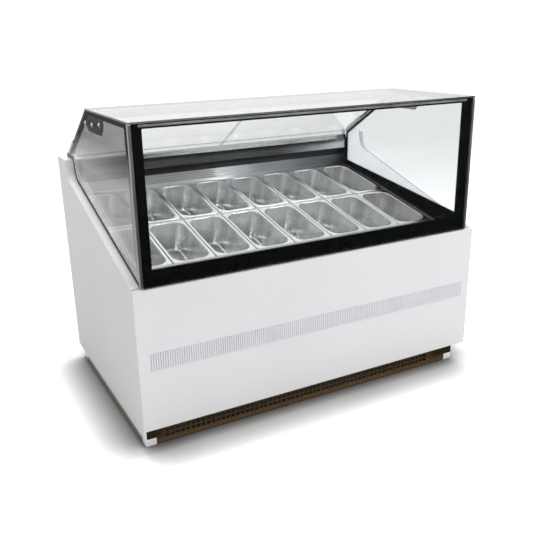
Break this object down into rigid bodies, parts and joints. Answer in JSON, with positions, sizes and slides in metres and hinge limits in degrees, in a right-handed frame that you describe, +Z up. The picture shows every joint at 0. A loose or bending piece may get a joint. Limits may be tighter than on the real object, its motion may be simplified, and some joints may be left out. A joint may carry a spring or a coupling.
{
  "type": "ice cream dipping cabinet",
  "caption": "Glass-fronted serving cabinet that keeps open pans of ice cream cold on a tilted plane, with lift-up clear flaps at the rear.",
  "frame": {"origin": "centre of the cabinet's footprint, on the floor", "axes": "+X to the right seen from the customer side, +Y from the customer side to the operator side, +Z up"},
  "size_m": [1.45, 0.92, 1.14],
  "materials": {
    "white_paint": "satin",
    "perforated_strip": "satin",
    "mirror_steel": "polished",
    "white_plastic": "matte",
    "stainless": "satin",
    "pan_steel": "satin",
    "ledge_black": "satin",
    "foam": "matte",
    "clear_glass": "gloss",
    "flap_clear": "gloss",
    "aluminium": "satin",
    "lamp": "satin",
    "control_black": "matte",
    "fan_black": "matte",
    "compressor_black": "gloss",
    "fin_aluminium": "matte"
  },
  "bodies": {
    "cabinet": {"base_frame": "mirror_steel", "kick_grille": "mirror_steel", "foot_front_left": "white_plastic", "foot_front_right": "white_plastic", "foot_rear_left": "white_plastic", "foot_rear_right": "white_plastic", "end_panel_left": "white_paint", "end_panel_right": "white_paint", "front_panel": "white_paint", "vent_strip": "perforated_strip", "insulated_tub": "foam", "liner": "stainless", "pan_rail_front": "stainless", "pan_rail_centre": "stainless", "front_ledge": "ledge_black", "side_ledge_left": "stainless", "side_ledge_right": "stainless", "air_louvre": "stainless", "rear_deck": "stainless", "front_glass": "clear_glass", "top_glass": "clear_glass", "side_glass_left": "clear_glass", "corner_trim_left": "aluminium", "glass_clamp_left": "aluminium", "side_glass_right": "clear_glass", "corner_trim_right": "aluminium", "glass_clamp_right": "aluminium", "led_lamp": "lamp", "hinge_rail": "aluminium", "rear_panel": "white_paint", "control_panel": "control_black", "power_inlet": "control_black", "condenser": "fin_aluminium", "evaporator": "fin_aluminium", "compressor": "compressor_black"},
    "pan_front_1": {"pan_front_1": "pan_steel"},
    "pan_front_2": {"pan_front_2": "pan_steel"},
    "pan_front_3": {"pan_front_3": "pan_steel"},
    "pan_front_4": {"pan_front_4": "pan_steel"},
    "pan_front_5": {"pan_front_5": "pan_steel"},
    "pan_front_6": {"pan_front_6": "pan_steel"},
    "pan_front_7": {"pan_front_7": "pan_steel"},
    "pan_front_8": {"pan_front_8": "pan_steel"},
    "pan_rear_1": {"pan_rear_1": "pan_steel"},
    "pan_rear_2": {"pan_rear_2": "pan_steel"},
    "pan_rear_3": {"pan_rear_3": "pan_steel"},
    "pan_rear_4": {"pan_rear_4": "pan_steel"},
    "pan_rear_5": {"pan_rear_5": "pan_steel"},
    "pan_rear_6": {"pan_rear_6": "pan_steel"},
    "pan_rear_7": {"pan_rear_7": "pan_steel"},
    "pan_rear_8": {"pan_rear_8": "pan_steel"},
    "flap_left": {"rear_flap_left": "flap_clear", "flap_hinge_left": "aluminium"},
    "flap_right": {"rear_flap_right": "flap_clear", "flap_hinge_right": "aluminium"},
    "condenser_fan": {"condenser_fan": "fan_black"},
    "evaporator_fan": {"evaporator_fan": "fan_black"},
    "power_switch": {"power_switch": "control_black"},
    "light_switch": {"light_switch": "control_black"},
    "thermostat_knob": {"thermostat_knob": "control_black"}
  },
  "joints": [
    {"name": "pan_front_1_lift", "type": "slide", "parent": "cabinet", "child": "pan_front_1", "axis": [0, -0.2036, 0.979], "range_m": [0, 0.13]},
    {"name": "pan_front_2_lift", "type": "slide", "parent": "cabinet", "child": "pan_front_2", "axis": [0, -0.2036, 0.979], "range_m": [0, 0.13]},
    {"name": "pan_front_3_lift", "type": "slide", "parent": "cabinet", "child": "pan_front_3", "axis": [0, -0.2036, 0.979], "range_m": [0, 0.13]},
    {"name": "pan_front_4_lift", "type": "slide", "parent": "cabinet", "child": "pan_front_4", "axis": [0, -0.2036, 0.979], "range_m": [0, 0.13]},
    {"name": "pan_front_5_lift", "type": "slide", "parent": "cabinet", "child": "pan_front_5", "axis": [0, -0.2036, 0.979], "range_m": [0, 0.13]},
    {"name": "pan_front_6_lift", "type": "slide", "parent": "cabinet", "child": "pan_front_6", "axis": [0, -0.2036, 0.979], "range_m": [0, 0.13]},
    {"name": "pan_front_7_lift", "type": "slide", "parent": "cabinet", "child": "pan_front_7", "axis": [0, -0.2036, 0.979], "range_m": [0, 0.13]},
    {"name": "pan_front_8_lift", "type": "slide", "parent": "cabinet", "child": "pan_front_8", "axis": [0, -0.2036, 0.979], "range_m": [0, 0.13]},
    {"name": "pan_rear_1_lift", "type": "slide", "parent": "cabinet", "child": "pan_rear_1", "axis": [0, -0.2036, 0.979], "range_m": [0, 0.13]},
    {"name": "pan_rear_2_lift", "type": "slide", "parent": "cabinet", "child": "pan_rear_2", "axis": [0, -0.2036, 0.979], "range_m": [0, 0.13]},
    {"name": "pan_rear_3_lift", "type": "slide", "parent": "cabinet", "child": "pan_rear_3", "axis": [0, -0.2036, 0.979], "range_m": [0, 0.13]},
    {"name": "pan_rear_4_lift", "type": "slide", "parent": "cabinet", "child": "pan_rear_4", "axis": [0, -0.2036, 0.979], "range_m": [0, 0.13]},
    {"name": "pan_rear_5_lift", "type": "slide", "parent": "cabinet", "child": "pan_rear_5", "axis": [0, -0.2036, 0.979], "range_m": [0, 0.13]},
    {"name": "pan_rear_6_lift", "type": "slide", "parent": "cabinet", "child": "pan_rear_6", "axis": [0, -0.2036, 0.979], "range_m": [0, 0.13]},
    {"name": "pan_rear_7_lift", "type": "slide", "parent": "cabinet", "child": "pan_rear_7", "axis": [0, -0.2036, 0.979], "range_m": [0, 0.13]},
    {"name": "pan_rear_8_lift", "type": "slide", "parent": "cabinet", "child": "pan_rear_8", "axis": [0, -0.2036, 0.979], "range_m": [0, 0.13]},
    {"name": "flap_left_hinge", "type": "hinge", "parent": "cabinet", "child": "flap_left", "pos_m": [-0.342, 0.063, 1.117], "axis": [1, 0, 0], "range_deg": [0, 85]},
    {"name": "flap_right_hinge", "type": "hinge", "parent": "cabinet", "child": "flap_right", "pos_m": [0.342, 0.063, 1.117], "axis": [1, 0, 0], "range_deg": [0, 85]},
    {"name": "condenser_fan_spin", "type": "hinge", "parent": "cabinet", "child": "condenser_fan", "pos_m": [0.22, -0.307, 0.212], "axis": [0, 1, 0], "continuous": true},
    {"name": "evaporator_fan_spin", "type": "hinge", "parent": "cabinet", "child": "evaporator_fan", "pos_m": [0, 0.182, 0.508], "axis": [0, 1, 0], "continuous": true},
    {"name": "thermostat_turn", "type": "hinge", "parent": "cabinet", "child": "thermostat_knob", "pos_m": [0.6, 0.4548, 0.325], "axis": [0, 1, 0], "range_deg": [0, 270]},
    {"name": "power_switch_rock", "type": "hinge", "parent": "cabinet", "child": "power_switch", "pos_m": [0.45, 0.4475, 0.325], "axis": [1, 0, 0], "range_deg": [0, 14]},
    {"name": "light_switch_rock", "type": "hinge", "parent": "cabinet", "child": "light_switch", "pos_m": [0.5, 0.4475, 0.325], "axis": [1, 0, 0], "range_deg": [0, 14]}
  ]
}
